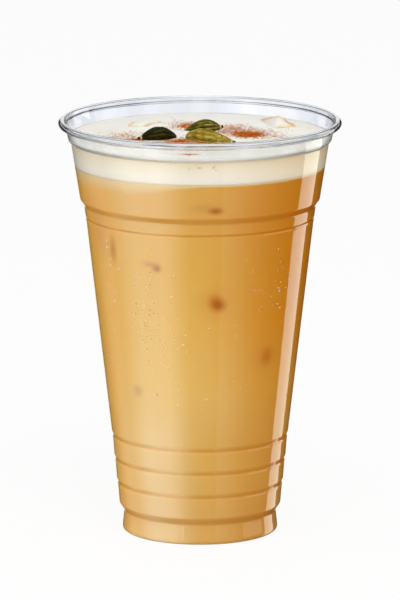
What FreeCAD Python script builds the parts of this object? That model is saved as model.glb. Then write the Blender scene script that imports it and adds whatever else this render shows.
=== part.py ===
"""Iced milk coffee in a clear plastic cup, with cold foam, ice and three cardamom pods.

Millimetres, +Z up. The origin is the centre of the ring that the cup stands on.
The cup is one thin sheet of plastic, turned about the Z axis. The coffee and the foam
fill it in two layers, and the ice and the pods are set into them from above.
"""
import FreeCAD, Part
import math
import os

# ---- the cup, from the table up
CUP_HEIGHT = 145.0           # table to the top of the rolled rim
SHEET = 0.5                  # thickness of the plastic
FOOT_RADIUS = 27.2           # the foot, measured to its bottom corner
FOOT_RING = 2.7              # width of the ring that stands on the table
FOOT_BEND = 1.4              # rounding of the foot's outer corner
BASE_LIFT = 5.0              # how far the base is pushed up above the table
BASE_SLOPE = 2.0             # how far the push-up's side leans inwards
NOTCH_INSET = 0.75           # the narrow line where the foot meets the body, inside the foot
NOTCH_HEIGHT = 7.0
BODY_STEP = 0.95             # how far the body stands outside the foot, just above that line
BODY_HEIGHT = 9.7

# ---- the ribs low on the body: three grooves, each band wider than the one below
RIB_COUNT = 3
RIB_FIRST = 16.9             # height of the lowest groove
RIB_PITCH = 8.4
RIB_EDGE = 0.55              # how much the body widens up to the edge under the lowest groove
RIB_STEP = 0.85              # how much wider each edge is than the one below
RIB_GROOVE = 0.25            # depth of a groove
RIB_LIP = 0.7                # height from the edge of a band to the groove's floor
RIB_RISE = 1.6               # height from the groove's floor to the next band
RIB_SHELF = 0.4              # how far the next band starts outside the edge

# ---- the upper body, measured in and down from the rim
RIM_DIAMETER = 98.0
RIM_ROLL = 2.6               # thickness of the rolled edge
RIM_CURL = 285.0             # degrees of turn in the roll
NECK_INSET = 3.35            # the neck's lower end, inwards of the rim
NECK_DROP = 6.8
GROOVE_INSET = 4.25          # the fine groove under the neck
GROOVE_DROP = 7.6
LEDGE_INSET = 7.38           # top and bottom of the stacking ledge
LEDGE_DROP = 27.4
UNDER_LEDGE_INSET = 8.78
UNDER_LEDGE_DROP = 29.6
LINE_INSET = 9.25            # the fine line under the ledge
LINE_DROP = 33.3
LINE_DEPTH = 0.3
WALL_INSET = 9.5             # top of the long plain wall
WALL_DROP = 34.7
SOFT_BEND = 1.2              # rounding of the ledge
CRISP_BEND = 0.5             # rounding of the ribs, the neck and the fine lines

# ---- what the cup holds
HEADSPACE = 5.3              # brim down to the foam
FOAM_DEPTH = 10.2
CONTENTS_GAP = 0.03          # clearance between the drink and the plastic

# ---- cardamom pods: length, thickness, and how each lies in the foam
# fullest: where the husk is widest, from its tail (0) to its stalk (1)
# share, bearing: place, as a share of the foam's radius and degrees about the cup's axis
# heading: where the stalk points; nod: degrees that the stalk end is raised; roll: about itself
PODS = {
    "pod_left": dict(length=14.0, thick=8.0, fullest=0.5, share=0.385, bearing=213.0,
                     heading=198.0, nod=0.0, roll=20.0),
    "pod_back": dict(length=14.2, thick=6.8, fullest=0.6, share=0.17, bearing=82.0,
                     heading=10.0, nod=5.0, roll=55.0),
    "pod_front": dict(length=19.6, thick=8.0, fullest=0.4, share=0.328, bearing=284.0,
                      heading=-31.0, nod=0.0, roll=5.0),
}
POD_CLEAR = 0.56             # share of a pod's thickness that stands clear of the foam
POD_BLUNT = 0.7              # below 1 the ends are rounder, above 1 sharper
POD_SIDES = 3                # a pod has three blunt corners
POD_CORNER = 0.07            # how far the corners stand out, as a share of the radius
POD_RIDGES = 12              # fine ridges along the husk
POD_RIDGE = 0.025
POD_POINTS = 48              # points round one section
POD_STAGES = (0.003, 0.03, 0.1, 0.22, 0.4, 0.6, 0.78, 0.9, 0.97, 1.0)
NECK_RADIUS = 0.6            # the husk where it ends at the collar
COLLAR_RADIUS = 0.85
COLLAR_LENGTH = 0.5
STALK_RADIUS = 0.55
STALK_LENGTH = 0.8

# ---- ice that breaks the surface: a crest, and a flank that slopes away to each corner
# rise: height of the crest above the foam; corners: (direction from the crest, reach at the foam)
ICE = {
    "ice_right": dict(share=0.72, bearing=32.5, rise=3.8, corners=(
        (124.0, 13.8), (218.0, 5.0), (262.0, 8.5), (322.0, 9.0), (60.0, 3.0))),
    "ice_left": dict(share=0.61, bearing=131.3, rise=1.1, corners=(
        (12.0, 6.0), (59.0, 8.0), (150.0, 6.5), (223.0, 11.0), (260.0, 9.0))),
}
# (depth under the foam's top, size against its outline at the foam)
ICE_RINGS = ((0.0, 1.0), (2.5, 1.25), (13.0, 1.0))

rim_radius = RIM_DIAMETER / 2
roll_radius = RIM_ROLL / 2
roll_centre = FreeCAD.Vector(rim_radius - roll_radius, 0, CUP_HEIGHT - roll_radius)
foam_top = CUP_HEIGHT - HEADSPACE
drink_top = foam_top - FOAM_DEPTH


def polar(centre, radius, degrees):
    """A point of the section plane, radius away from centre at this angle."""
    angle = math.radians(degrees)
    return centre + FreeCAD.Vector(radius * math.cos(angle), 0, radius * math.sin(angle))


def cup_stations():
    """The outside of the sheet as (radius, height, bend), from the axis out and up to the rim."""
    ring_inside = FOOT_RADIUS - FOOT_RING
    body_radius = FOOT_RADIUS + BODY_STEP
    stations = [
        (0, BASE_LIFT, 0),
        (ring_inside - BASE_SLOPE, BASE_LIFT, SOFT_BEND),
        (ring_inside, 0, SHEET + CRISP_BEND),
        (FOOT_RADIUS, 0, FOOT_BEND),
        (FOOT_RADIUS - NOTCH_INSET, NOTCH_HEIGHT, CRISP_BEND),
        (body_radius, BODY_HEIGHT, SOFT_BEND),
    ]
    for rib in range(RIB_COUNT):
        edge = body_radius + RIB_EDGE + rib * RIB_STEP
        floor = RIB_FIRST + rib * RIB_PITCH
        stations.append((edge, floor - RIB_LIP, CRISP_BEND))
        stations.append((edge - RIB_GROOVE, floor, CRISP_BEND))
        stations.append((edge + RIB_SHELF, floor + RIB_RISE, CRISP_BEND))
    wall_top = rim_radius - WALL_INSET
    line_height = CUP_HEIGHT - (WALL_DROP + LINE_DROP) / 2
    stations += [
        (wall_top, CUP_HEIGHT - WALL_DROP, CRISP_BEND),
        (wall_top + LINE_DEPTH / 2 - LINE_DEPTH, line_height, CRISP_BEND),
        (rim_radius - LINE_INSET, CUP_HEIGHT - LINE_DROP, CRISP_BEND),
        (rim_radius - UNDER_LEDGE_INSET, CUP_HEIGHT - UNDER_LEDGE_DROP, SOFT_BEND),
        (rim_radius - LEDGE_INSET, CUP_HEIGHT - LEDGE_DROP, SOFT_BEND),
        (rim_radius - GROOVE_INSET, CUP_HEIGHT - GROOVE_DROP, CRISP_BEND),
        (rim_radius - NECK_INSET, CUP_HEIGHT - NECK_DROP, CRISP_BEND),
        (rim_radius - RIM_ROLL + SHEET, roll_centre.z, 0),
    ]
    return stations


def inset(stations, depth):
    """The same line moved depth into the cup, its two ends kept on the axis and at the rim."""
    points = [FreeCAD.Vector(radius, 0, height) for radius, height, bend in stations]
    moved = [points[0] + FreeCAD.Vector(0, 0, depth)]
    bends = [0]
    for before, corner, after, station in zip(points, points[1:], points[2:], stations[1:]):
        come = (corner - before).normalize()
        leave = (after - corner).normalize()
        come_side = FreeCAD.Vector(-come.z, 0, come.x)
        leave_side = FreeCAD.Vector(-leave.z, 0, leave.x)
        reach = depth / (1 + come_side.dot(leave_side))
        moved.append(corner + (come_side + leave_side) * reach)
        turns_in = come.x * leave.z - come.z * leave.x > 0
        bends.append(max(station[2] - depth, 0.1) if turns_in else station[2] + depth)
    moved.append(points[-1] - FreeCAD.Vector(depth, 0, 0))
    bends.append(0)
    return [(point.x, point.z, bend) for point, bend in zip(moved, bends)]


def bent_line(stations):
    """Edges along the stations, each corner rounded by its own bend or what its runs allow."""
    points = [FreeCAD.Vector(radius, 0, height) for radius, height, bend in stations]
    edges = []
    start = points[0]
    for before, corner, after, station in zip(points, points[1:], points[2:], stations[1:]):
        come = (corner - before).normalize()
        leave = (after - corner).normalize()
        half_turn = come.getAngle(leave) / 2
        shorter = min((corner - before).Length, (after - corner).Length)
        bend = min(station[2], 0.45 * shorter / math.tan(half_turn))
        back_off = bend * math.tan(half_turn)
        first = corner - come * back_off
        last = corner + leave * back_off
        inwards = (leave - come).normalize()
        middle = corner + inwards * (bend / math.cos(half_turn) - bend)
        edges.append(Part.LineSegment(start, first).toShape())
        edges.append(Part.Arc(first, middle, last).toShape())
        start = last
    edges.append(Part.LineSegment(start, points[-1]).toShape())
    return edges


def turned(edges):
    """The solid that a closed outline sweeps when it is turned about the Z axis."""
    face = Part.Face(Part.Wire(Part.__sortEdges__(edges)))
    return face.revolve(FreeCAD.Vector(0, 0, 0), FreeCAD.Vector(0, 0, 1), 360)


def make_cup():
    """One sheet from the pushed-up base to the rolled rim."""
    outside = cup_stations()
    inside = inset(outside, SHEET)
    curl_end = 180 - RIM_CURL
    over_top = 180 - RIM_CURL / 2
    hollow = roll_radius - SHEET
    roll_under = Part.Arc(polar(roll_centre, hollow, 180), polar(roll_centre, hollow, over_top),
                          polar(roll_centre, hollow, curl_end)).toShape()
    roll_over = Part.Arc(polar(roll_centre, roll_radius, 180),
                         polar(roll_centre, roll_radius, over_top),
                         polar(roll_centre, roll_radius, curl_end)).toShape()
    curl_lip = Part.LineSegment(polar(roll_centre, hollow, curl_end),
                                polar(roll_centre, roll_radius, curl_end)).toShape()
    base_cut = Part.LineSegment(FreeCAD.Vector(0, 0, outside[0][1]),
                                FreeCAD.Vector(0, 0, inside[0][1])).toShape()
    return turned(bent_line(outside) + bent_line(inside) + [roll_under, roll_over, curl_lip, base_cut])


def make_inside():
    """All the room in the cup, a hair clear of the plastic, from the base to the rim."""
    wall = inset(cup_stations(), SHEET + CONTENTS_GAP)
    floor_centre = FreeCAD.Vector(0, 0, wall[0][1])
    brim = FreeCAD.Vector(wall[-1][0], 0, wall[-1][1])
    brim_centre = FreeCAD.Vector(0, 0, brim.z)
    lid = Part.LineSegment(brim, brim_centre).toShape()
    axis = Part.LineSegment(brim_centre, floor_centre).toShape()
    return turned(bent_line(wall) + [lid, axis])


def foam_radius():
    """How wide the foam is at its top."""
    neck_foot = CUP_HEIGHT - NECK_DROP
    lean = (RIM_ROLL - SHEET - NECK_INSET) / (neck_foot - roll_centre.z)
    return rim_radius - NECK_INSET + lean * (foam_top - neck_foot) - SHEET - CONTENTS_GAP


def spot_on_foam(share, bearing, lift):
    """A place given as a share of the foam's radius and a bearing, lifted above the foam."""
    reach = share * foam_radius()
    angle = math.radians(bearing)
    return FreeCAD.Vector(reach * math.cos(angle), reach * math.sin(angle), foam_top + lift)


def husk_radius(along, angle, thick, fullest):
    """A pod's radius: a spindle with three blunt corners and fine ridges, and a round neck."""
    swell = math.log(0.5) / math.log(fullest)
    spindle = math.sin(math.pi * along ** swell) ** POD_BLUNT
    corners = POD_CORNER * math.cos(POD_SIDES * angle)
    ridges = POD_RIDGE * math.cos(POD_RIDGES * angle)
    body = thick / 2 * spindle * (1 + corners + ridges) / (1 + POD_CORNER + POD_RIDGE)
    return body + NECK_RADIUS * along ** 8


def husk_section(along, length, thick, fullest):
    """One closed ring of the husk, square to the pod's own X axis."""
    ring = []
    for index in range(POD_POINTS):
        angle = 2 * math.pi * index / POD_POINTS
        radius = husk_radius(along, angle, thick, fullest)
        ring.append(FreeCAD.Vector((along - 0.5) * length, radius * math.cos(angle),
                                   radius * math.sin(angle)))
    curve = Part.BSplineCurve()
    curve.interpolate(ring, PeriodicFlag=True)
    return Part.Wire(curve.toShape())


def make_pod(length, thick, fullest, share, bearing, heading, nod, roll):
    """A dry pod: the ridged husk, the pale collar and the short stalk, laid in the foam."""
    along = FreeCAD.Vector(1, 0, 0)
    husk_length = length - COLLAR_LENGTH - STALK_LENGTH
    sections = [husk_section(stage, husk_length, thick, fullest) for stage in POD_STAGES]
    husk = Part.makeLoft(sections, True)
    collar_root = along * (husk_length / 2)
    collar = Part.makeCylinder(COLLAR_RADIUS, COLLAR_LENGTH, collar_root, along)
    stalk_root = collar_root + along * COLLAR_LENGTH
    stalk = Part.makeCylinder(STALK_RADIUS, STALK_LENGTH, stalk_root, along)
    pod = husk.fuse([collar, stalk])
    pod.translate(along * (husk_length / 2 - length / 2))
    origin = FreeCAD.Vector(0, 0, 0)
    pod.rotate(origin, FreeCAD.Vector(1, 0, 0), roll)
    pod.rotate(origin, FreeCAD.Vector(0, 1, 0), -nod)
    pod.rotate(origin, FreeCAD.Vector(0, 0, 1), heading)
    pod.translate(spot_on_foam(share, bearing, thick * (POD_CLEAR - 0.5)))
    return pod


def ice_ring(centre, corners, depth, size):
    """The block's outline at one depth under the foam's top."""
    ring = []
    for direction, reach in corners:
        angle = math.radians(direction)
        ring.append(centre + FreeCAD.Vector(reach * size * math.cos(angle),
                                            reach * size * math.sin(angle), -depth))
    return Part.makePolygon(ring + [ring[0]])


def make_ice(share, bearing, rise, corners):
    """A melting block: a blunt crest above the foam, widest just under it."""
    centre = spot_on_foam(share, bearing, 0)
    crest = Part.Vertex(centre + FreeCAD.Vector(0, 0, rise))
    rings = [ice_ring(centre, corners, depth, size) for depth, size in ICE_RINGS]
    levels = [crest] + rings
    courses = [Part.makeLoft([upper, lower], True, True) for upper, lower in zip(levels, levels[1:])]
    return courses[0].fuse(courses[1:]).removeSplitter()


def slab(low, high):
    """A wide slice of space between two heights."""
    return Part.makeCylinder(rim_radius, high - low, FreeCAD.Vector(0, 0, low))


pods = {name: make_pod(**pod) for name, pod in PODS.items()}
ice = {name: make_ice(**block) for name, block in ICE.items()}
sunk = list(pods.values()) + list(ice.values())
inside = make_inside()
pieces = {
    "cup": make_cup(),
    "drink": inside.common(slab(0, drink_top)).cut(sunk),
    "foam": inside.common(slab(drink_top, foam_top)).cut(sunk),
}
pieces.update(pods)
pieces.update(ice)

os.makedirs("parts", exist_ok=True)
for name, shape in pieces.items():
    box = shape.BoundBox
    print(f"{name}: {len(shape.Solids)} solid, {shape.Volume / 1000:.2f} ml, valid {shape.isValid()}, "
          f"x {box.XMin:.1f}..{box.XMax:.1f} y {box.YMin:.1f}..{box.YMax:.1f} z {box.ZMin:.1f}..{box.ZMax:.1f}")
    shape.exportStep(f"parts/{name}.step")
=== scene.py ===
# %% [markdown]
# # Iced milk coffee in a clear plastic cup
# This lesson dresses a drink: a thin clear cup, milky coffee with a layer of cold foam,
# ice that breaks the surface, three cardamom pods and a dusting of cinnamon.
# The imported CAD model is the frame: it says where each piece is and how large it may be.
# Shapes are written in mm and made in metres, and each piece rides on the one body.

# %% Open the frame
import math
import random

import bmesh
import bpy
import numpy as np
from mathutils import Matrix, Vector, noise


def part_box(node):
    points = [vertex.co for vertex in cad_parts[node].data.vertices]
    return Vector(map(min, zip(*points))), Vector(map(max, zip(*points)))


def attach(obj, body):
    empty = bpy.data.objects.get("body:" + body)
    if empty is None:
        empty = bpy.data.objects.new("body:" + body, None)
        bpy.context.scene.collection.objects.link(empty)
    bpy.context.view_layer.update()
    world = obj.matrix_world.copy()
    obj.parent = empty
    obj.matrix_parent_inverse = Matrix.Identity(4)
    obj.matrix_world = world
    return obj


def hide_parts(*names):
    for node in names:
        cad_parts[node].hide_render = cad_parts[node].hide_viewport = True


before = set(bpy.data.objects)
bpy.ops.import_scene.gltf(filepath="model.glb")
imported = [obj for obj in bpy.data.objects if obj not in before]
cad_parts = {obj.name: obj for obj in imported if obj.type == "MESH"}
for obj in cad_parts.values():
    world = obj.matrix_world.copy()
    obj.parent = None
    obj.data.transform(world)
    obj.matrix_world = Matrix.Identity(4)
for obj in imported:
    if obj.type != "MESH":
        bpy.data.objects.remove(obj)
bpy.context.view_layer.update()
MM = 0.001

# %% [markdown]
# ## Helpers
# Small helpers carry the lesson: one turns a written colour into the linear values that
# the renderer adds up, one adds a shader node with its settings and links, two start and
# finish a material, and one makes a smooth mesh out of points and faces.

# %% Colours, nodes and materials
def linear(code):
    """An sRGB hex colour as linear red, green, blue and alpha."""
    parts = [int(code[place:place + 2], 16) / 255 for place in (1, 3, 5)]
    return [v / 12.92 if v <= 0.04045 else ((v + 0.055) / 1.055) ** 2.4 for v in parts] + [1.0]


def add(tree, kind, *first, out=0, stops=(), **named):
    """Adds a node and gives back one of its outputs.

    first: values for the first sockets in use. A capitalised name is a socket, with _ for a
    space, and any other name is a setting. A value may be another node's output.
    stops: (position, hex colour) pairs of a colour ramp.
    """
    node = tree.nodes.new("ShaderNode" + kind)
    for name, value in named.items():
        if name.islower():
            setattr(node, name, value)
    sockets = list(zip([socket for socket in node.inputs if socket.enabled], first))
    sockets += [(node.inputs[name.replace("_", " ")], value)
                for name, value in named.items() if not name.islower()]
    for socket, value in sockets:
        if isinstance(value, bpy.types.NodeSocket):
            tree.links.new(value, socket)
        else:
            socket.default_value = value
    for number, (position, code) in enumerate(stops):
        bar = node.color_ramp.elements
        element = bar[number] if number < len(bar) else bar.new(position)
        element.position, element.color = position, linear(code)
    return node.outputs[out]


# settings that come back often
MIXED = {"out": 2, "data_type": "RGBA"}
TINTED = {**MIXED, "blend_type": "MULTIPLY"}
TIMES = {"operation": "MULTIPLY"}
SMOOTH = {"interpolation_type": "SMOOTHSTEP"}


def start_material(name, **values):
    """A new material and its node tree, with plain values set on its shader."""
    material = bpy.data.materials.new(name)
    material.use_nodes = True
    shader = material.node_tree.nodes["Principled BSDF"]
    for socket, value in values.items():
        shader.inputs[socket.replace("_", " ")].default_value = value
    return material, material.node_tree


def finish_material(material, colour=None, bump=None):
    """Links the colour and the bump to the material's shader."""
    tree = material.node_tree
    for socket, value in (("Base Color", colour), ("Normal", bump)):
        if value:
            tree.links.new(value, tree.nodes["Principled BSDF"].inputs[socket])
    print(f"{material.name}: {len(tree.nodes)} nodes")


# %% Meshes
def metres(vector):
    """Millimetres as a tuple in metres."""
    return tuple(value * MM for value in vector)


def make_piece(name, points, faces, material, replaced=(), stand=None):
    """A smooth mesh, its points in mm, that rides on the body and stands for CAD nodes."""
    mesh = bpy.data.meshes.new(name)
    mesh.from_pydata([metres(point) for point in points], [], faces)
    mesh.polygons.foreach_set("use_smooth", [True] * len(mesh.polygons))
    mesh.validate()
    mesh.materials.append(material)
    piece = bpy.data.objects.new(name, mesh)
    bpy.context.scene.collection.objects.link(piece)
    if stand:
        piece.matrix_world = stand
    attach(piece, "root")
    if replaced:
        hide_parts(*replaced)
    print(f"{name}: {len(mesh.vertices)} points, {len(mesh.polygons)} faces")
    return piece


# %% [markdown]
# ## The camera
# The cup is seen from a little above, through a long lens from about two metres, so its
# rim is a flat oval and its sides barely converge. The camera aims at the cup's own axis.

# %% Place the camera
CAMERA_REACH = 2.1
CAMERA_RISE = 0.51387
AIM_HEIGHT = 0.0811
LENS_MM = 370.36
SENSOR_MM = 36.0
camera_data = bpy.data.cameras.new("camera")
camera_data.lens = LENS_MM
camera_data.sensor_width = SENSOR_MM
camera = bpy.data.objects.new("camera", camera_data)
bpy.context.scene.collection.objects.link(camera)
camera.location = (0.0, -CAMERA_REACH, CAMERA_RISE)
look = Vector((0.0, 0.0, AIM_HEIGHT)) - camera.location
camera.rotation_euler = look.to_track_quat("-Z", "Y").to_euler()
bpy.context.scene.camera = camera
print("camera looks down by", round(math.degrees(math.atan2(-look.z, look.y)), 2), "degrees")

# %% [markdown]
# ## The studio
# Clear plastic has no colour of its own: what you see is what it reflects and bends.
# So the room is drawn into the world by direction. Through its wall the cup shows strips
# of white backdrop, with dark flags between them that draw the rim's edges. It mirrors a
# broad soft box on the left and narrow crisp panels on the right. Rays that light the
# food see only an even grey.

# %% Directions in the room
scene = bpy.context.scene
scene.view_settings.view_transform = "Standard"
world = bpy.data.worlds.new("studio")
scene.world = world
world.use_nodes = True
room = world.node_tree
direction = add(room, "TexCoord", out="Generated")
rightward, away, upright = [add(room, "SeparateXYZ", Vector=direction, out=axis) for axis in "XYZ"]
forward = add(room, "Math", away, -1.0, **TIMES)
bearing = add(room, "Math", rightward, forward, operation="ARCTAN2")

# %% Panels of light
# bearings in degrees round from the front, positive to the right: where a panel's
# light starts, is full, is still full and has gone; then its strength, and how low and how
# high it reaches, as the height of a direction from straight down (-1) to straight up (1)
BACKDROP = ((167.0, 174.0, 186.0, 193.0, 1.0, -0.8, 0.85),
            (-193.0, -186.0, -174.0, -167.0, 1.0, -0.8, 0.85))
SOFT_BOXES = (
    (-104.0, -66.0, -44.0, -8.0, 2.5, -0.8, 0.35),
    (-142.0, -112.0, -100.0, -66.0, 0.6, -0.8, 0.35),
    (111.5, 113.0, 138.5, 140.0, 2.5, -0.42, 0.35),
    (21.0, 23.5, 25.0, 70.0, 0.35, -0.8, 0.35),
    (-28.0, -26.5, -25.0, -23.5, 1.2, -0.1, 0.2),
    (66.0, 68.0, 104.0, 107.0, 0.9, -0.1, 0.2),
)
# what the clear wall lets through: strips of backdrop all round, with dark flags between them
STRIPS = tuple((centre - 10, centre - 5, centre + 5, centre + 10, 1.0, -0.8, 0.85)
               for centre in range(-135, 136, 45))
WHITE_FLOOR = (-182.0, -181.0, 181.0, 182.0, 1.0, -1.2, -0.92)
DARK_ROOM = 0.02
CEILING_STARTS, CEILING_FULL, CEILING = 0.4, 0.8, 0.7
PANEL_EDGE = 0.12            # how softly a panel ends above and below


def lit(panels, level):
    """The level with each panel's light added to it."""
    for starts, full, still_full, gone, strength, lowest, highest in panels:
        panel = strength
        for value, dark, bright in ((bearing, math.radians(starts), math.radians(full)),
                                    (bearing, math.radians(gone), math.radians(still_full)),
                                    (upright, lowest - PANEL_EDGE, lowest),
                                    (upright, highest + PANEL_EDGE, highest)):
            edge = add(room, "MapRange", Value=value, From_Min=dark, From_Max=bright, **SMOOTH)
            panel = add(room, "Math", panel, edge, **TIMES)
        level = add(room, "Math", panel, level, operation="ADD")
    return level


overhead = add(room, "MapRange", Value=upright, From_Min=CEILING_STARTS, From_Max=CEILING_FULL,
               To_Min=DARK_ROOM, To_Max=CEILING)
seen_through = lit(BACKDROP + STRIPS + (WHITE_FLOOR,), DARK_ROOM)
mirrored = lit(BACKDROP + SOFT_BOXES, overhead)
print(len(SOFT_BOXES), "panels to mirror,", len(STRIPS), "strips beyond the wall")

# %% One view of the room for each kind of ray
AMBIENT = 0.66
view = add(room, "Background", Color=linear("#FFFFFF"), Strength=AMBIENT)
for kind, colour, strength in (("Is Glossy Ray", "#F5F7EC", mirrored),
                               ("Is Transmission Ray", "#F6F7FE", seen_through),
                               ("Is Camera Ray", "#FFFFFF", 1.0)):
    light = add(room, "Background", Color=linear(colour), Strength=strength)
    chosen = add(room, "LightPath", out=kind)
    view = add(room, "MixShader", chosen, view, light)
room.links.new(view, room.nodes["World Output"].inputs["Surface"])
print("room:", len(room.nodes), "nodes")

# %% The lamps that light the food
LAMPS = (
    # name, bearing from the camera's side and height in degrees, size, watts
    ("left_soft_box", -38.0, 38.0, 0.9, 4.6),
    ("front_soft_box", 14.0, 52.0, 0.7, 9.5),
)
LAMP_REACH = 1.5
for name, lamp_bearing, rise, size, watts in LAMPS:
    lamp_data = bpy.data.lights.new(name, "AREA")
    lamp_data.size = size
    lamp_data.energy = watts
    lamp = bpy.data.objects.new(name, lamp_data)
    scene.collection.objects.link(lamp)
    turn, lift = math.radians(lamp_bearing), math.radians(rise)
    way = Vector((math.sin(turn) * math.cos(lift), -math.cos(turn) * math.cos(lift), math.sin(lift)))
    lamp.location = Vector((0, 0, AIM_HEIGHT)) + way * LAMP_REACH
    lamp.rotation_euler = (-way).to_track_quat("-Z", "Y").to_euler()
    lamp.visible_camera = False
    lamp.visible_glossy = False
    lamp.visible_transmission = False
    print(f"{name}: {watts} W, {rise} degrees up")

# %% The white table
# a matt white board, mostly plain white to the camera, so it melts into the backdrop
TABLE_GLOW = 0.9             # the share that is plain white; the rest is lit
TABLE_HALF = 4.0
table_material, tree = start_material("white_studio_table", Roughness=0.6,
                                      Base_Color=linear("#F0F0F0"))
glow = add(tree, "Emission", Color=linear("#FFFFFF"), Strength=1.0)
to_camera = add(tree, "LightPath", out="Is Camera Ray")
amount = add(tree, "Math", to_camera, TABLE_GLOW, **TIMES)
surface = add(tree, "MixShader", amount, tree.nodes["Principled BSDF"].outputs[0], glow)
tree.links.new(surface, tree.nodes["Material Output"].inputs["Surface"])
mesh = bpy.data.meshes.new("table")
corners = [(x * TABLE_HALF, y * TABLE_HALF, 0) for x, y in ((-1, -1), (1, -1), (1, 1), (-1, 1))]
mesh.from_pydata(corners, [], [(0, 1, 2, 3)])
mesh.materials.append(table_material)
table = bpy.data.objects.new("table", mesh)
scene.collection.objects.link(table)
table.visible_glossy = False
table.visible_transmission = False

# %% [markdown]
# ## The cup's line
# A cold cup is drawn from one hot sheet of clear plastic, so its wall is the same
# thickness nearly everywhere, and its ribs and ledges are bends in that sheet. It could
# be carved from a cylinder, but a maker thinks of its line: a short list of stations,
# each a radius, a height and a bend. The line is offset for the inside and then turned.

# %% Sizes of the cup, from the frame
_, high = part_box("cup")
CUP_HEIGHT = high.z / MM
RIM_RADIUS = high.x / MM
DRINK_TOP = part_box("foam")[0].z / MM
FOAM_DEPTH = 10.2
FOAM_TOP = DRINK_TOP + FOAM_DEPTH
SHEET = 0.5
RIM_ROLL = 2.6
RIM_CURL = 335.0
FOOT_RADIUS = 27.2
FOOT_HEIGHT = 9.7
STANDING_RING = 2.7          # the width of the ring that the cup stands on
PUSH_UP = 5.0                # how far the base rises inside that ring
LOW_RIBS = 3
LOWEST_RIB = 16.9
RIB_PITCH = 8.4
RIB_GROWTH = 0.85            # how far each rib stands out past the one below
SOFT_BEND = 1.2
CRISP_BEND = 0.5
TURNS = 352                  # steps round the cup
print("cup", round(CUP_HEIGHT, 2), "high,", round(2 * RIM_RADIUS, 2), "wide; drink to",
      round(DRINK_TOP, 2), "foam to", round(FOAM_TOP, 2))


# %% Stations of the sheet, from the axis to the rim
def cup_stations():
    """The outside of the sheet as (radius, height, bend) in mm."""
    body = FOOT_RADIUS + 0.95
    stations = [
        (0, PUSH_UP, 0),
        (FOOT_RADIUS - 4.7, PUSH_UP, SOFT_BEND),
        (FOOT_RADIUS - STANDING_RING, 0, SHEET + CRISP_BEND),
        (FOOT_RADIUS, 0, 1.4),
        (FOOT_RADIUS - 0.75, 7.0, CRISP_BEND),
        (body, FOOT_HEIGHT, SOFT_BEND),
    ]
    for rib in range(LOW_RIBS):
        edge = body + 0.55 + rib * RIB_GROWTH
        floor = LOWEST_RIB + rib * RIB_PITCH
        stations += [(edge, floor - 0.7, CRISP_BEND), (edge - 0.25, floor, CRISP_BEND),
                     (edge + 0.4, floor + 1.6, CRISP_BEND)]
    # the upper body: how far in from the rim, how far down from it, and the bend
    for inset, drop, bend in ((9.5, 34.7, CRISP_BEND), (9.65, 34.0, CRISP_BEND),
                              (9.25, 33.3, CRISP_BEND), (8.78, 29.6, SOFT_BEND),
                              (7.38, 27.4, SOFT_BEND), (4.25, 7.6, CRISP_BEND),
                              (3.35, 6.8, CRISP_BEND)):
        stations.append((RIM_RADIUS - inset, CUP_HEIGHT - drop, bend))
    stations.append((RIM_RADIUS - RIM_ROLL + SHEET, CUP_HEIGHT - RIM_ROLL / 2, 0))
    return stations


print(len(cup_stations()), "stations")

# %% Offsetting the line and rounding its corners
def corners_of(stations):
    """Each inner station as a point, the directions into and out of it, and its bend."""
    points = [np.array(station[:2], float) for station in stations]
    for before, corner, after, station in zip(points, points[1:], points[2:], stations[1:]):
        come, leave = corner - before, after - corner
        shorter = min(np.linalg.norm(come), np.linalg.norm(leave))
        yield corner, come / np.linalg.norm(come), leave / np.linalg.norm(leave), station[2], shorter


def moved_in(stations, depth):
    """The same line moved depth into the cup, its ends kept on the axis and at the rim."""
    moved = [(0.0, stations[0][1] + depth, 0)]
    for corner, come, leave, bend, _ in corners_of(stations):
        sides = np.array((-come[1] - leave[1], come[0] + leave[0]))
        place = corner + sides * depth / (1 + come @ leave)
        turns_left = come[0] * leave[1] > come[1] * leave[0]
        moved.append((place[0], place[1], max(bend - depth, 0.1) if turns_left else bend + depth))
    moved.append((stations[-1][0] - depth, stations[-1][1], 0))
    return moved


def bent(stations, steps=3):
    """Points along the stations, each corner rounded by its bend."""
    line = [np.array(stations[0][:2], float)]
    for corner, come, leave, bend, shorter in corners_of(stations):
        half_turn = math.acos(min(1.0, come @ leave)) / 2
        back_off = min(bend * math.tan(half_turn), 0.45 * shorter)
        fitting = back_off / math.tan(half_turn)
        to_centre = (leave - come) / np.linalg.norm(leave - come)
        onward = (come + leave) / np.linalg.norm(come + leave)
        centre = corner + to_centre * fitting / math.cos(half_turn)
        for step in range(steps + 1):
            angle = half_turn * (2 * step / steps - 1)
            line.append(centre + (onward * math.sin(angle) - to_centre * math.cos(angle)) * fitting)
    line.append(np.array(stations[-1][:2], float))
    return line


def held(line, hold=0.7):
    """The line with a point near each end of its long runs, so that they shade straight."""
    out = [line[0]]
    for start, end in zip(line, line[1:]):
        share = hold / np.linalg.norm(end - start)
        if share < 0.4:
            out += [start + (end - start) * share, end + (start - end) * share]
        out.append(end)
    return out


# %% Turning a line about the cup's axis
def turned(line):
    """Points and faces of a line turned about the cup's axis; line is (radius, height) in mm."""
    points, rings = [], []
    for radius, height in line:
        steps = TURNS if radius > 1e-6 else 1
        rings.append(list(range(len(points), len(points) + steps)))
        for step in range(steps):
            angle = 2 * math.pi * step / TURNS
            points.append((radius * math.cos(angle), radius * math.sin(angle), height))
    faces = []
    for first, second in zip(rings, rings[1:]):
        for step in range(TURNS):
            after = (step + 1) % TURNS
            ring = [first[step % len(first)], first[after % len(first)],
                    second[after % len(second)], second[step % len(second)]]
            faces.append(list(dict.fromkeys(ring)))
    return points, [face for face in faces if len(face) > 2]


outside = held(bent(cup_stations()))


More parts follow.
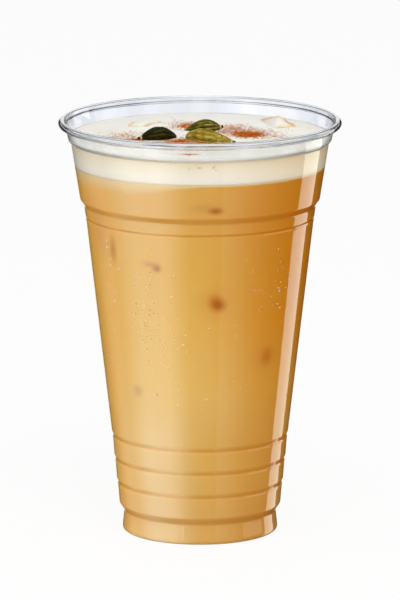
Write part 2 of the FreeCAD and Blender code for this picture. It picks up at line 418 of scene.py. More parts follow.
def wall_radius(z):
    """The cup's outside radius at a height, in mm."""
    upper = [point for point in outside if point[0] > FOOT_RADIUS - 1.0]
    return float(np.interp(z, [point[1] for point in upper], [point[0] for point in upper]))


print("halfway up:", round(2 * wall_radius(CUP_HEIGHT / 2), 1), "mm wide")

# %% [markdown]
# ## The clear plastic
# The cup is PET, drawn hot over a mould. PET bends light more than water does (1.575),
# is almost perfectly smooth, and shows a faint waviness where the sheet stretched.
# Lamps have to reach the coffee through it, so the piece casts no shadow.

# %% Material: clear PET
clear_pet, tree = start_material(
    "clear_drawn_PET", Roughness=0.02, IOR=1.575, Transmission_Weight=1.0,
    Base_Color=linear("#FBFCFD"))
WAVE_MM = 16.0               # the sheet's faint waviness
place = add(tree, "TexCoord", out="Object")
waves = add(tree, "TexNoise", Vector=place, Scale=1 / (WAVE_MM * MM), Detail=0.0)
bump = add(tree, "Bump", Strength=0.04, Distance=0.0006, Height=waves)
finish_material(clear_pet, bump=bump)

# %% The cup itself
# the edge is rolled outwards while it is soft, and the roll closes up on itself until
# only a thin hollow is left, so it bends light like a glass rod and looks dark at the sides
HOLLOW = 0.6                 # the hollow's radius


def roll_arc(radius, start, end, steps):
    """Points round the rolled edge."""
    angles = [math.radians(start + (end - start) * step / steps) for step in range(steps + 1)]
    return [np.array((RIM_RADIUS - RIM_ROLL / 2 + radius * math.cos(angle),
                      CUP_HEIGHT - RIM_ROLL / 2 + radius * math.sin(angle))) for angle in angles]


inside = held(bent(moved_in(cup_stations(), SHEET)))
cup_line = outside[:-1] + roll_arc(HOLLOW, 180, 180 - RIM_CURL, 20)
cup_line += roll_arc(RIM_ROLL / 2, 180 - RIM_CURL, 180, 30) + inside[-2::-1]
points, faces = turned(cup_line)
cup = make_piece("clear_cup", points, faces, clear_pet, ["cup"])
cup.visible_shadow = False
cup.visible_diffuse = False

# %% [markdown]
# ## The coffee
# Milky coffee is cloudy: light goes a few millimetres in and comes back golden. It is
# creamiest low in the cup. Its right side is painted darker and deeper amber as painted
# shade, and its left edge is painted a glowing orange as painted light. Corners of ice that
# touch the wall show as soft brown spots, because there no milk lies between the ice and
# the plastic. Where the wall bends inwards, bands of painted shade lie on it. It fills the
# cup up to the foam, and its side stands inside the plastic's own thickness, so that no
# line of air shows between them.

# %% A blot of colour placed by the object's own millimetres
def blot(tree, place, centre, size, reach=1.5):
    """A soft blot in the shape of an ellipsoid: 1 at its centre, fading out at its edge."""
    apart = add(tree, "VectorMath", place, metres(centre), operation="SUBTRACT")
    shaped = add(tree, "VectorMath", apart, metres(size), operation="DIVIDE")
    away = add(tree, "VectorMath", shaped, operation="LENGTH", out="Value")
    return add(tree, "MapRange", Value=away, From_Min=reach, From_Max=0.0, **SMOOTH)


def rightness(tree, place):
    """How far round to the right a place is: -1 at the left side, 1 at the right."""
    flat = add(tree, "VectorMath", place, (1, 1, 0), **TIMES)
    around = add(tree, "VectorMath", flat, operation="NORMALIZE")
    return add(tree, "SeparateXYZ", Vector=around, out="X")


# %% Material: milk coffee, from the creamy bottom to the stronger top
milk_coffee, tree = start_material(
    "milk_coffee", Roughness=0.5, Specular_IOR_Level=0.0, Subsurface_Weight=0.4,
    Subsurface_Scale=0.004, Subsurface_Radius=(1.0, 0.5, 0.15))
place = add(tree, "TexCoord", out="Object")
height = add(tree, "SeparateXYZ", Vector=place, out="Z")
SWIRL_MM = 26                # slow swirls of milk
DRIFT_MM = 14                # how far they carry a colour up
swirl = add(tree, "TexNoise", Vector=place, Scale=1 / (SWIRL_MM * MM), Detail=2.0)
drift = add(tree, "Math", swirl, DRIFT_MM * MM, height, operation="MULTIPLY_ADD")
upward = add(tree, "MapRange", Value=drift, From_Min=7 * MM, From_Max=147 * MM)
creamy = add(tree, "ValToRGB", Fac=upward, stops=(
    (0.04, "#DFBD84"), (0.26, "#E2C182"), (0.42, "#E0B96A"), (0.55, "#DFB45F"), (0.7, "#DBAE58"),
    (0.85, "#D9AA5C")))
# painted shade: the right side is painted darker and deeper amber, less so low in the cup
right_shade_colour = add(tree, "Mix", 1.0, creamy, linear("#EEC04B"), **TINTED)
side = rightness(tree, place)
right_shade = add(tree, "MapRange", Value=side, From_Min=-0.15, From_Max=0.95, **SMOOTH)
right_shade_height = add(tree, "MapRange", Value=height, From_Min=15 * MM, From_Max=80 * MM, To_Min=0.6)
right_shade = add(tree, "Math", right_shade, right_shade_height, **TIMES)
colour = add(tree, "Mix", right_shade, creamy, right_shade_colour, **MIXED)

# %% Syrup, and a painted glow at the left edge
# syrup has settled low in the cup, except at the creamy left
syrup = add(tree, "MapRange", Value=side, From_Min=-0.55, From_Max=0.0)
low_down = add(tree, "MapRange", Value=height, From_Min=55 * MM, From_Max=35 * MM, To_Min=0.3)
syrup = add(tree, "Math", syrup, low_down, **TIMES)
sweet = add(tree, "Mix", 1.0, colour, linear("#F3E4BB"), **TINTED)
colour = add(tree, "Mix", syrup, colour, sweet, **MIXED)
# painted light: the left edge is painted a glowing orange, standing in for light that comes through a
# thin slice of coffee
painted_edge_glow = add(tree, "MapRange", Value=side, From_Min=-0.6, From_Max=-0.98, To_Max=0.75)
colour = add(tree, "Mix", painted_edge_glow, colour, linear("#F8BA58"), **MIXED)

# %% Painted shade: where the wall bends inwards, the coffee behind it is painted deeper
ALL_ROUND = 1000             # a blot this wide is a band round the cup
# the height of each bend and half the height of its band
BEND_SHADE_BANDS = ((116.4, 1.2), (111.2, 0.6), (34.2, 0.9), (25.8, 0.9), (17.4, 0.9), (8.2, 1.2))
for z, half_height in BEND_SHADE_BANDS:
    bend = blot(tree, place, (0, 0, z), (ALL_ROUND, ALL_ROUND, half_height))
    # painted shade: a deeper band round the cup at each bend
    bend_shade = add(tree, "Mix", 1.0, colour, linear("#FAEACC"), **TINTED)
    colour = add(tree, "Mix", bend, colour, bend_shade, **MIXED)

# %% Milk that has just begun to sink out of the foam, deeper on the left
WISP_MM = 9                  # how far apart the wisps hang
sunk = add(tree, "Math", DRINK_TOP * MM, height, operation="SUBTRACT")
depth = add(tree, "MapRange", Value=side, From_Min=0.0, From_Max=-0.6, To_Min=0.8 * MM,
            To_Max=6.0 * MM)
ragged = add(tree, "TexNoise", Vector=place, Scale=1 / (WISP_MM * MM), Detail=2.0)
ragged = add(tree, "Math", ragged, 0.5, operation="ADD")
depth = add(tree, "Math", depth, ragged, **TIMES)
share = add(tree, "Math", sunk, depth, operation="DIVIDE")
sinking = add(tree, "MapRange", Value=share, From_Min=1.0, From_Max=0.1, To_Max=0.8, **SMOOTH)
colour = add(tree, "Mix", sinking, colour, linear("#E2C899"), **MIXED)

# %% Corners of ice against the wall
ICE_CORNERS = (
    # bearing from the front, height, half sizes (right, away, up) in mm, strength, colour
    (-26.4, 100.6, (4.2, 3.4, 1.3), 0.6, "#BC7A42"),
    (-22.8, 99.2, (1.9, 2.2, 1.5), 0.85, "#AC6028"),
    (8.2, 87.3, (6.5, 6.5, 6.0), 0.45, "#CC8C3C"),
    (8.0, 88.1, (2.6, 2.6, 2.6), 0.6, "#B0601C"),
    (10.0, 86.6, (2.8, 2.6, 2.4), 0.85, "#A6540F"),
    (41.5, 66.8, (5.6, 6.0, 6.0), 0.4, "#C08438"),
    (42.0, 66.6, (2.7, 2.8, 3.4), 0.85, "#BE6A1C"),
    (2.8, 121.4, (6.0, 5.0, 1.8), 0.5, "#C48A50"),
    (7.4, 120.4, (2.6, 2.6, 1.3), 0.85, "#A45A22"),
    (-50.4, 103.6, (1.6, 2.4, 5.5), 0.65, "#B87034"),
    (-60.2, 111.4, (5.5, 6.0, 14.0), 0.4, "#CC8850"),
    (-40.4, 54.3, (2.2, 2.6, 2.2), 0.45, "#B0784A"),
)
for around_cup, z, size, strength, code in ICE_CORNERS:
    turn = math.radians(around_cup)
    centre = (wall_radius(z) * math.sin(turn), -wall_radius(z) * math.cos(turn), z)
    spot = blot(tree, place, centre, size)
    spot = add(tree, "Math", spot, strength, **TIMES)
    colour = add(tree, "Mix", spot, colour, linear(code), **MIXED)
finish_material(milk_coffee, colour)

# %% The coffee itself
INTO_WALL = SHEET / 2


def filled(bottom, top):
    """The line round a filling between two heights, its side inside the plastic."""
    line = [point for point in bent(moved_in(cup_stations(), INTO_WALL)) if point[1] < top]
    if bottom > 0:
        first = next(number for number, point in enumerate(line) if point[1] > bottom + 1)
        foot = np.array((wall_radius(bottom) - INTO_WALL, bottom))
        line = [np.array((0.0, bottom)), foot] + line[first:]
    return held(line + [np.array((wall_radius(top) - INTO_WALL, top))]) + [np.array((0.0, top))]


points, faces = turned(filled(0, DRINK_TOP))
make_piece("coffee", points, faces, milk_coffee, ["drink"])

# %% [markdown]
# ## The cold foam
# Cold foam is milk whipped to fine bubbles. It is poured on last and floats as a band
# a centimetre deep. Its top isn't flat: it sinks a little along the wall, swells at the
# pods and the ice and keeps faint ripples from pouring. A disc with a bump map would
# look right from above only, so the top is a fine turned mesh whose points are lifted.

# %% What lies in the foam, in mm and degrees
FOAM_RADIUS = wall_radius(FOAM_TOP) - SHEET
PODS = {
    # length, thickness, widest place, share of the radius, bearing, heading, nod, roll
    "pod_left": (14.0, 8.0, 0.5, 0.385, 213.0, 198.0, 0.0, 20.0),
    "pod_back": (14.2, 6.8, 0.6, 0.17, 82.0, 10.0, 5.0, 55.0),
    "pod_front": (19.6, 8.0, 0.4, 0.328, 284.0, -31.0, 0.0, 5.0),
}
ICE = {
    # share of the radius, bearing, rise of the crest, (direction, reach) of each corner
    "ice_right": (0.72, 32.5, 3.8,
                  ((124.0, 13.8), (218.0, 5.0), (262.0, 8.5), (322.0, 9.0), (60.0, 3.0))),
    "ice_left": (0.61, 131.3, 1.1,
                 ((12.0, 6.0), (59.0, 8.0), (150.0, 6.5), (223.0, 11.0), (260.0, 9.0))),
}


def reached(degrees, reach):
    """The point this far out in this direction."""
    turn = math.radians(degrees)
    return np.array((reach * math.cos(turn), reach * math.sin(turn)))


def to_pod(name, x, y):
    """How far outside a pod's waterline a place lies, in mm."""
    length, thick, _, share, around, heading, *_ = PODS[name]
    gap = np.array((x, y)) - reached(around, share * FOAM_RADIUS)
    across, aside = gap @ reached(heading, 1), gap @ reached(heading + 90, 1)
    return (math.hypot(across / (0.46 * length), aside / (0.47 * thick)) - 1) * 0.5 * thick


def to_ice(name, x, y):
    """How far outside a block's outline at the foam a place lies, in mm."""
    share, around, _, corners = ICE[name]
    centre = reached(around, share * FOAM_RADIUS)
    corner = [centre + reached(*spot) for spot in sorted(corners)]
    nearest, within = math.inf, True
    for first, second in zip(corner, corner[1:] + corner[:1]):
        edge, gap = second - first, np.array((x, y)) - first
        along = max(0.0, min(1.0, (gap @ edge) / (edge @ edge)))
        nearest = min(nearest, np.linalg.norm(gap - along * edge))
        within = within and edge[0] * gap[1] > edge[1] * gap[0]
    return -nearest if within else nearest


# %% The level of the foam's top
RIPPLES = (
    # height, length across and away, and where in the noise it is taken
    (0.28, 13, 13, 2.0),
    (0.1, 4.5, 3.2, 5.0),
    (0.04, 1.3, 1.3, 8.0),
)
# how far the foam drops at the wall and swells at the pods and the ice, and how wide that is
EDGE_DROP, EDGE_WIDTH = 0.55, 2.0
POD_SWELL, POD_SWELL_WIDTH = 0.2, 0.8
ICE_SWELL, ICE_SWELL_WIDTH = 0.3, 1.4


def foam_surface(x, y):
    """The height of the foam's top at a place, in mm."""
    height = FOAM_TOP - 0.1
    for lift, across, along, part in RIPPLES:
        height += lift * noise.noise(Vector((x / across, y / along, part)))
    height -= EDGE_DROP * math.exp(-(FOAM_RADIUS - math.hypot(x, y)) / EDGE_WIDTH)
    for name in PODS:
        height += POD_SWELL * math.exp(-abs(to_pod(name, x, y)) / POD_SWELL_WIDTH)
    for name in ICE:
        height += ICE_SWELL * math.exp(-abs(to_ice(name, x, y)) / ICE_SWELL_WIDTH)
    return height


print("middle of the foam:", round(foam_surface(0, 0), 2), "mm high")

# %% Where the cinnamon fell
CINNAMON = (
    # place, half length, half width, heading, strength of the tint, grains
    (17.0, -0.6, 5.2, 4.8, -35.0, 1.0, 2400),
    (15.8, 2.0, 9.5, 8.5, -20.0, 0.31, 1900),
    (25.5, -3.5, 6.0, 6.0, -25.0, 0.12, 260),
    (11.5, 13.5, 6.0, 7.0, 0.0, 0.36, 500),
    (9.0, 5.0, 4.5, 5.0, 0.0, 0.22, 350),
    (-4.4, 14.6, 5.0, 6.0, 0.0, 0.46, 900),
    (-4.5, 19.0, 6.0, 9.0, 0.0, 0.3, 450),
    (-26.5, -5.0, 7.0, 10.0, 0.0, 0.27, 700),
    (-21.8, -12.5, 3.2, 4.2, 0.0, 0.85, 700),
    (-7.7, -15.5, 9.0, 7.0, 0.0, 0.45, 1400),
    (-7.0, -14.5, 3.0, 4.5, -20.0, 0.75, 500),
    (-4.8, -20.4, 1.1, 1.1, 0.0, 1.0, 120),
    (3.2, -17.2, 6.0, 3.8, -25.0, 0.9, 1300),
    (-3.1, -37.2, 4.2, 2.8, 0.0, 0.5, 160),
)

# %% Material: cold foam, first its band behind the wall
# whipped milk is matt, and light that goes in comes out nearby, so its edges look soft
CLOUD_MM = 11                # its faint clouds
WAVER_MM = 2.5               # how far the band's edge wavers
STEP_FOOT = FOAM_TOP - 1.6   # where the neck's step begins
cold_foam, tree = start_material(
    "cold_milk_foam", Roughness=0.45, Specular_IOR_Level=0.2, Subsurface_Weight=0.2,
    Subsurface_Scale=0.002, Subsurface_Radius=(1.0, 0.8, 0.6))
place = add(tree, "TexCoord", out="Object")
height = add(tree, "SeparateXYZ", Vector=place, out="Z")
cloud = add(tree, "TexNoise", Vector=place, Scale=1 / (CLOUD_MM * MM), Detail=3.0)
wavy = add(tree, "Math", cloud, WAVER_MM * MM, height, operation="MULTIPLY_ADD")
upward = add(tree, "MapRange", Value=wavy, From_Min=DRINK_TOP * MM,
             From_Max=(FOAM_TOP + WAVER_MM) * MM)
band = add(tree, "ValToRGB", Fac=upward, stops=(
    (0.08, "#EAE1CE"), (0.3, "#EDE5D4"), (0.5, "#EBE0CA"), (0.72, "#E8DABF")))
# painted shade: the band is painted warmer and a little darker towards the right
warmer = add(tree, "Mix", 1.0, band, linear("#FFF4E2"), **TINTED)
side = rightness(tree, place)
right_shade = add(tree, "MapRange", Value=side, From_Min=0.1, From_Max=0.9, **SMOOTH)
band = add(tree, "Mix", right_shade, band, warmer, **MIXED)

# %% The foam at the neck's step
# above the neck's step the foam is paler, and at the step a grey line is painted round it as
# painted shade, thin at the front and broad at the sides
above = add(tree, "MapRange", Value=height, From_Min=STEP_FOOT * MM,
            From_Max=(STEP_FOOT + 0.5) * MM)
band = add(tree, "Mix", above, band, linear("#E2E0D9"), **MIXED)
step = blot(tree, place, (0, 0, STEP_FOOT + 0.4), (ALL_ROUND, ALL_ROUND, 0.75))
aside = add(tree, "Math", side, operation="ABSOLUTE")
aside = add(tree, "MapRange", Value=aside, From_Min=0.3, From_Max=0.8, To_Min=0.35)
step = add(tree, "Math", step, aside, **TIMES)
band = add(tree, "Mix", step, band, linear("#9C9B98"), **MIXED)

# %% Then its top, with the finest cinnamon in it
DUST_MM = 0.8                # coarser than real cinnamon dust, so that it shows
top = add(tree, "ValToRGB", Fac=cloud, stops=(
    (0.3, "#E4E1D7"), (0.55, "#E8E6DE"), (0.75, "#ECEAE4")))
flat = add(tree, "VectorMath", place, (1, 1, 0), **TIMES)
from_axis = add(tree, "VectorMath", flat, operation="LENGTH", out="Value")
# painted shade: a grey line is painted round the top where it meets the wall
wall_shade_line = add(tree, "MapRange", Value=from_axis, From_Min=(FOAM_RADIUS - 1.5) * MM,
               From_Max=(FOAM_RADIUS - 0.2) * MM, To_Max=0.7)
top = add(tree, "Mix", wall_shade_line, top, linear("#C9C8C4"), **MIXED)
dusted = 0.0
for x, y, half_length, half_width, heading, strength, grains in CINNAMON:
    patch_place = add(tree, "Mapping", Vector=place, Location=metres((x, y, FOAM_TOP)),
                      Rotation=(0, 0, math.radians(heading)), vector_type="TEXTURE")
    patch = blot(tree, patch_place, (0, 0, 0), (half_length, half_width, 4.0))
    patch = add(tree, "Math", patch, strength, **TIMES)
    dusted = add(tree, "Math", dusted, patch, operation="MAXIMUM")
grain = add(tree, "TexNoise", Vector=place, Scale=1 / (DUST_MM * MM), Detail=3.0, Roughness=0.8)
speckle = add(tree, "Math", dusted, grain, operation="ADD")
speckle = add(tree, "MapRange", Value=speckle, From_Min=0.78, From_Max=1.2)
spiced = add(tree, "ValToRGB", Fac=speckle, stops=(
    (0.0, "#F0E4CC"), (0.25, "#F8C686"), (0.5, "#DE8420"), (0.72, "#983C02"), (1.0, "#581800")))
dusty = add(tree, "MapRange", Value=speckle, From_Min=0.0, From_Max=0.2)
top = add(tree, "Mix", dusty, top, spiced, **MIXED)

# %% The top shows where the surface faces up
BUBBLE_MM = 0.8              # coarser than real bubbles, so that they show
normal = add(tree, "NewGeometry", out="Normal")
facing = add(tree, "SeparateXYZ", Vector=normal, out="Z")
facing = add(tree, "MapRange", Value=facing, From_Min=0.3, From_Max=0.6)
high_up = add(tree, "MapRange", Value=height, From_Min=STEP_FOOT * MM,
              From_Max=(STEP_FOOT + 0.4) * MM)
on_top = add(tree, "Math", high_up, facing, **TIMES)
colour = add(tree, "Mix", on_top, band, top, **MIXED)
bubbles = add(tree, "TexVoronoi", Vector=place, Scale=1 / (BUBBLE_MM * MM))
bump = add(tree, "Bump", Strength=0.12, Distance=0.0002, Height=bubbles)
finish_material(cold_foam, colour, bump)

# %% The foam itself
TOP_RINGS = 110
line = filled(DRINK_TOP, FOAM_TOP - EDGE_DROP)
edge = line[-2][0]
side_points = (len(line) - 2) * TURNS + 1
line = line[:-1] + [np.array((edge * (1 - ring / TOP_RINGS), 0)) for ring in range(1, TOP_RINGS + 1)]
points, faces = turned(line)
points = points[:side_points] + [(x, y, foam_surface(x, y)) for x, y, z in points[side_points:]]
make_piece("foam_layer", points, faces, cold_foam, ["foam"])
tops = [point[2] for point in points[side_points:]]
print("foam top from", round(min(tops), 2), "to", round(max(tops), 2), "mm")

# %% [markdown]
# ## The cardamom pods
# A green cardamom pod dries into a papery spindle with three blunt sides and fine ribs
# that run its whole length. One end keeps a pale collar and a stump of stalk. A stretched
# sphere has none of that, so each pod is lofted from rings round its own axis, and the
# rings carry the sides, the ribs and the seams.

# %% The shape of a pod
POD_RING = 144
POD_STEPS = 90
HUSK_RIBS = 12
STALK_END = 1.3              # collar and stalk together
COLLAR_RADIUS = 0.6
FULLEST_SWELL = 1.095        # corners and ribs at their highest
# the collar flares, the stalk stands in it and ends in a torn rim: (distance, radius)
STALK_LINE = ((0.02, 0.72), (0.1, 0.85), (0.35, 0.85), (0.5, 0.78), (0.5, 0.58), (0.55, 0.5),
              (0.9, 0.48), (1.2, 0.55), (1.28, 0.5), (1.25, 0.36), (0.95, 0.3))


def husk_radius(along, angle, thick, fullest, seed):
    """The husk's radius: a spindle with three blunt corners, ribs, seams and shrunken places."""
    spindle = math.sin(math.pi * along ** (math.log(0.5) / math.log(fullest))) ** 0.7
    shrunk = noise.noise(Vector((along * 5, math.cos(angle) * 1.4, math.sin(angle) * 1.4 + seed)))
    twist = angle + 0.25 * noise.noise(Vector((along * 3, seed, 4.0)))
    ribs = 0.022 * math.cos(HUSK_RIBS * twist) + 0.008 * math.cos(31 * angle + 4 * shrunk)
    seam = -0.035 * math.exp(-(math.cos(1.5 * twist) / 0.09) ** 2)
    corners = 0.07 * math.cos(3 * angle)
    swell = (1 + corners + ribs + seam + 0.035 * shrunk) / FULLEST_SWELL
    return thick / 2 * spindle * swell + COLLAR_RADIUS * along ** 8


# %% A pod's rings, lofted
def pod_mesh(length, thick, fullest, roll, seed):
    """Points in mm and faces of one pod along X, rolled about it, its stalk towards +X."""
    angles = [2 * math.pi * index / POD_RING for index in range(POD_RING)]
    husk = length - STALK_END
    rings = []
    for step in range(POD_STEPS + 1):
        along = min(0.9995, max(0.002, 0.5 - 0.5 * math.cos(math.pi * step / POD_STEPS)))
        x = along * husk - length / 2
        rings.append([(x, husk_radius(along, angle, thick, fullest, seed), angle) for angle in angles])
    for past, radius in STALK_LINE:
        ring = []
        for angle in angles:
            spot = Vector((past * 2, math.cos(angle) * 2, math.sin(angle) * 2 + seed))
            ring.append((husk - length / 2 + past, radius * (1 + 0.1 * noise.noise(spot)), angle))
        rings.append(ring)
    turn = math.radians(roll)
    points = [(x, radius * math.cos(angle + turn), radius * math.sin(angle + turn))
              for ring in rings for x, radius, angle in ring]
    tail, hollow = len(points), len(points) + 1
    points += [(-length / 2, 0.0, 0.0), (husk - length / 2 + STALK_LINE[-1][0], 0.0, 0.0)]
    faces = []
    for index in range(POD_RING):
        after = (index + 1) % POD_RING
        faces.append((tail, after, index))
        for base in range(0, (len(rings) - 1) * POD_RING, POD_RING):
            faces.append((base + index, base + after, base + POD_RING + after, base + POD_RING + index))
        last = (len(rings) - 1) * POD_RING
        faces.append((last + index, last + after, hollow))
    return points, faces


# %% The husks
# a dry husk is matt and fibrous, with a dull shine on its ribs; each pod has dried its own
# way, from nearly black green to straw
FIBRE_MM = 0.55              # coarser than real fibres, so that they show
PATCH_MM = 3.5
HUSKS = {
    # groove, husk, rib, stalk end, how much the ribs are lined in colour, slot
    "pod_left": ("#090700", "#1C1902", "#45400F", "#1A1203", 0.07, "dark_husk"),
    "pod_back": ("#221C01", "#524A10", "#9A9246", "#44340C", 0.16, "green_husk"),
    "pod_front": ("#564206", "#8E7A24", "#C8B468", "#987A38", 0.08, "pale_husk"),
}


def dry_husk(name, length, roll, groove, husk, rib, tip, lining):
    """Papery green husk, with a browner stalk end, a pale collar and a dark stump."""
    material, tree = start_material(name, Roughness=0.6, Specular_IOR_Level=0.08)
    place = add(tree, "TexCoord", out="Object")
    along, aside, up = [add(tree, "SeparateXYZ", Vector=place, out=axis) for axis in "XYZ"]
    stretched = add(tree, "VectorMath", place, (0.1, 1.0, 1.0), **TIMES)
    fibres = add(tree, "TexNoise", Vector=stretched, Scale=1 / (FIBRE_MM * MM), Detail=3.0,
                 Roughness=0.6)
    patches = add(tree, "TexNoise", Vector=place, Scale=1 / (PATCH_MM * MM), Detail=2.0)
    angle = add(tree, "Math", up, aside, operation="ARCTAN2")
    turned_back = math.radians(-HUSK_RIBS * roll)
    angle = add(tree, "Math", angle, HUSK_RIBS, turned_back, operation="MULTIPLY_ADD")
    lines = add(tree, "Math", angle, operation="COSINE")
    tone = add(tree, "Math", lines, lining, fibres, operation="MULTIPLY_ADD")
    tone = add(tree, "Math", patches, 0.5, tone, operation="MULTIPLY_ADD")
    tone = add(tree, "MapRange", Value=tone, From_Min=0.45, From_Max=1.1)
    colour = add(tree, "ValToRGB", Fac=tone, stops=((0.05, groove), (0.5, husk), (0.95, rib)))
    end = length / 2 - STALK_END
    for start, finish, strength, code in ((end - 3.0, end, 0.6, tip),
                                          (end - 0.1, end + 0.05, 1.0, "#C9B78D"),
                                          (end + 0.5, end + 0.6, 1.0, "#2A160A")):
        reach = add(tree, "MapRange", Value=along, From_Min=start * MM, From_Max=finish * MM,
                    To_Max=strength)
        colour = add(tree, "Mix", reach, colour, linear(code), **MIXED)
    bump = add(tree, "Bump", Strength=0.4, Distance=0.00012, Height=fibres)
    finish_material(material, colour, bump)
    return material


# %% The three pods, each laid where its node lies
for number, (name, pod) in enumerate(PODS.items()):
    length, thick, fullest, share, around, heading, nod, roll = pod
    *tones, slot = HUSKS[name]
    points, faces = pod_mesh(length, thick, fullest, roll, 10.0 * number + 3.0)
    x, y = reached(around, share * FOAM_RADIUS)
    stand = Matrix.Translation(metres((x, y, FOAM_TOP + thick * 0.06)))
    for degrees, axis in ((heading, "Z"), (-nod, "Y")):
        stand = stand @ Matrix.Rotation(math.radians(degrees), 4, axis)
    material = dry_husk(f"dry_cardamom_{slot}", length, roll, *tones)
    make_piece(f"cardamom_{name}", points, faces, material, [name], stand)

# %% [markdown]
# ## The ice
# Two blocks float just high enough to stand out of the foam. Their corners have melted
# round, a film of milk lies over them, and along the ridges, where it has run off, the
# colour of the coffee shows through. Each block is the CAD block with its edges bevelled,
# cut finer and pushed about a little, as melting does.

# %% Material: wet ice under milk
FILM_MM = 3.2                # how far apart the milk's film is thin
wet_ice, tree = start_material(
    "wet_ice_under_milk", Roughness=0.3, IOR=1.31, Specular_IOR_Level=0.3,
    Subsurface_Weight=0.3, Subsurface_Scale=0.002)
place = add(tree, "TexCoord", out="Object")
film = add(tree, "TexNoise", Vector=place, Scale=1 / (FILM_MM * MM), Detail=3.0)
bare = add(tree, "Attribute", attribute_name="worn", out="Fac")
thin = add(tree, "Math", film, 2.4, -0.5, operation="MULTIPLY_ADD")
bare = add(tree, "Math", bare, thin, **TIMES)
colour = add(tree, "ValToRGB", Fac=bare, stops=(
    (0.05, "#E4E1D7"), (0.35, "#DFC8A4"), (0.75, "#C89C6C")))
bump = add(tree, "Bump", Strength=0.25, Distance=0.0004, Height=film)
finish_material(wet_ice, colour, bump)

# %% How the blocks are worn
ICE_RINGS = ((0.0, 1.0), (2.5, 1.25), (9.0, 1.1))    # depth under the foam, size of the outline
MELTED_EDGE = 0.9            # how far an edge has melted back
RIDGE_WIDTH = 1.7


def worn_by(point, ridges):
    """How worn a place is: 1 on a ridge, 0 a few millimetres from it."""
    gaps = []
    for first, second in ridges:
        edge = second - first
        along = max(0.0, min(1.0, (point - first).dot(edge) / edge.length_squared))
        gaps.append((point - first - edge * along).length)
    return math.exp(-(min(gaps) / RIDGE_WIDTH) ** 2)


# %% The two blocks
for number, (name, (share, around, rise, corners)) in enumerate(ICE.items()):
    centre = reached(around, share * FOAM_RADIUS)
    crest = Vector((*centre, FOAM_TOP + rise))
    levels = [[Vector((*(centre + reached(turn, reach * size)), FOAM_TOP - depth))
               for turn, reach in corners] for depth, size in ICE_RINGS]
    block = bmesh.new()
    top = block.verts.new(crest)
    rows = [[block.verts.new(corner) for corner in ring] for ring in levels]
    for index in range(len(corners)):
        after = (index + 1) % len(corners)
        block.faces.new((top, rows[0][index], rows[0][after]))
        for upper, lower in zip(rows, rows[1:]):
            block.faces.new((upper[index], lower[index], lower[after], upper[after]))
    block.faces.new(rows[-1][::-1])
    bmesh.ops.recalc_face_normals(block, faces=block.faces)
    bmesh.ops.bevel(block, geom=block.edges[:], offset=MELTED_EDGE, segments=3, profile=0.5,
                    affect="EDGES", clamp_overlap=True)
    bmesh.ops.triangulate(block, faces=block.faces)
    bmesh.ops.subdivide_edges(block, edges=block.edges, cuts=4, use_grid_fill=True)
    for vertex in block.verts:
        melt = noise.noise(vertex.co / 2.6 + Vector((number * 9.0, 0, 0)))
        fine = noise.noise(vertex.co / 0.9)
        vertex.co += Vector((0.45, 0.45, 0.35)) * melt + Vector((0.06, 0.06, 0.06)) * fine
    # the high block is worn along three ridges, the low one all round its waterline
    ridges = [(crest, levels[0][0]), (crest, levels[0][3]), (levels[0][2], levels[0][3])]
    if name == "ice_left":
        ridges = list(zip(levels[0], levels[0][1:] + levels[0][:1]))
    worn = [worn_by(vertex.co, ridges) for vertex in block.verts]
    block.verts.index_update()
    points = [tuple(vertex.co) for vertex in block.verts]
    faces = [tuple(vertex.index for vertex in face.verts) for face in block.faces]
    block.free()
    piece = make_piece(name.replace("ice_", "ice_block_"), points, faces, wet_ice, [name])
    layer = piece.data.attributes.new("worn", "FLOAT", "POINT")
    layer.data.foreach_set("value", worn)

# %% [markdown]
# ## The cinnamon
# Ground cinnamon is a coarse powder of flat splinters. The foam's own colour carries the
# finest dust; these are the grains that the eye can pick out, a fifth of a millimetre
# long and more. They are one mesh, so that the powder is one piece.

# %% Material: ground cinnamon
# dry bark has no shine, and its grains are dark or pale
GRAIN_MM = 0.6               # so that neighbours differ
ground_cinnamon, tree = start_material("ground_cinnamon", Roughness=0.85, Specular_IOR_Level=0.2)
place = add(tree, "TexCoord", out="Object")
kinds = add(tree, "TexNoise", Vector=place, Scale=1 / (GRAIN_MM * MM), Detail=1.0)
colour = add(tree, "ValToRGB", Fac=kinds, stops=(
    (0.3, "#6E2600"), (0.5, "#AE5204"), (0.7, "#DE8A2C")))
finish_material(ground_cinnamon, colour)

# %% Scatter the grains
WALL_GRAINS = 40
scatter = random.Random(7)
places = []
for x, y, half_length, half_width, heading, strength, grains in CINNAMON:
    for grain_number in range(grains):
        spot = np.array((x, y)) + reached(heading, scatter.gauss(0, 0.55) * half_length)
        spot += reached(heading + 90, scatter.gauss(0, 0.55) * half_width)
        clear = np.linalg.norm(spot) < FOAM_RADIUS - 0.8
        clear = clear and min(to_pod(name, *spot) for name in PODS) > 0.1
        if clear and min(to_ice(name, *spot) for name in ICE) > 0:
            places.append((*spot, foam_surface(*spot)))
# a few grains lie against the wall, in the side of the foam
for grain_number in range(WALL_GRAINS):
    turn = math.radians(-2 + scatter.gauss(0, 6))
    z = FOAM_TOP - 3.6 + scatter.gauss(0, 0.6)
    reach = wall_radius(z) - INTO_WALL
    places.append((reach * math.sin(turn), -reach * math.cos(turn), z))

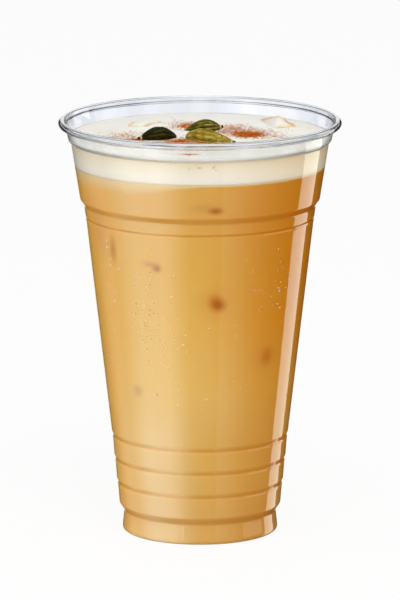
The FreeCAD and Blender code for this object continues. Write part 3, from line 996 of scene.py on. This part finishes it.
# %% The grains themselves
SMALLEST_GRAIN, GRAIN_SPREAD = 0.09, 0.26
SPLINTER = ((1.0, 0), (0.55, 0.3), (1.1, 0), (0.6, -0.2))    # its corners: reach and height
points, faces = [], []
for x, y, z in places:
    size = SMALLEST_GRAIN + GRAIN_SPREAD * scatter.random() ** 3
    spin = scatter.random() * math.pi
    base = len(points)
    for index, (out, up) in enumerate(SPLINTER):
        angle = spin + index * math.pi / 2
        points.append((x + size * out * math.cos(angle), y + size * out * math.sin(angle),
                       z + size * up))
    points += [(x, y, z + size * 0.7), (x, y, z - size * 0.5)]
    for index in range(4):
        after = (index + 1) % 4
        faces += [(base + index, base + after, base + 4), (base + after, base + index, base + 5)]
make_piece("cinnamon_grains", points, faces, ground_cinnamon)

# %% [markdown]
# ## The dew
# A cold cup mists over: a few drops, none wider than a millimetre, stand on the outside
# of the plastic. Each is a low dome with a haze of its own, so it looks paler than the
# coffee behind it and catches the soft box on one side.

# %% Material: water
HAZE_MM = 2                  # so that neighbours differ
clear_water, tree = start_material(
    "dew_water", Roughness=0.0, IOR=1.333, Transmission_Weight=0.9)
place = add(tree, "TexCoord", out="Object")
haze = add(tree, "TexNoise", Vector=place, Scale=1 / (HAZE_MM * MM))
colour = add(tree, "ValToRGB", Fac=haze, stops=((0.3, "#FBEBCB"), (0.7, "#FFF7E6")))
finish_material(clear_water, colour)

# %% The drops
DEW = (
    # patches of dew: bearing and height, their spreads, number of drops
    (-30.0, 82.0, 9.0, 17.0, 80),
    (-18.0, 72.0, 14.0, 20.0, 30),
    (42.0, 92.0, 14.0, 13.0, 45),
    (-5.0, 76.0, 30.0, 26.0, 45),
    (-50.0, 95.0, 10.0, 14.0, 20),
)
SMALLEST_DROP, DROP_SPREAD = 0.14, 0.24
DEW_LOWEST, DEW_HIGHEST = 40, 108
DROP_SIDES = 12
DROP_RINGS = ((1.0, 0.0), (0.9, 0.22), (0.6, 0.42))      # reach and height, as shares of its size
scatter = random.Random(11)
points, faces = [], []
for around_cup, height, wide, tall, drops in DEW:
    for drop in range(drops):
        turn = math.radians(around_cup + scatter.gauss(0, 0.6) * wide)
        z = height + scatter.gauss(0, 0.6) * tall
        size = SMALLEST_DROP + DROP_SPREAD * scatter.random() ** 2.2
        if not DEW_LOWEST < z < DEW_HIGHEST:
            continue
        out = Vector((math.sin(turn), -math.cos(turn), -0.09)).normalized()
        aside = Vector((math.cos(turn), math.sin(turn), 0))
        up = aside.cross(out)
        reach = wall_radius(z)
        foot = Vector((reach * math.sin(turn), -reach * math.cos(turn), z)) + out * 0.02
        base = len(points)
        for wide_by, lift in DROP_RINGS:
            for index in range(DROP_SIDES):
                angle = 2 * math.pi * index / DROP_SIDES
                spot = foot + (aside * math.cos(angle) + up * math.sin(angle)) * size * wide_by
                points.append(tuple(spot + out * size * lift))
        points += [tuple(foot + out * size * 0.5), tuple(foot)]
        for index in range(DROP_SIDES):
            after = (index + 1) % DROP_SIDES
            for first in (base, base + DROP_SIDES):
                second = first + DROP_SIDES
                faces.append((first + after, first + index, second + index, second + after))
            crown = base + 2 * DROP_SIDES
            faces.append((crown + after, crown + index, len(points) - 2))
            faces.append((base + index, base + after, len(points) - 1))
dew = make_piece("dew_drops", points, faces, clear_water)
dew.visible_shadow = False
dew.visible_diffuse = False
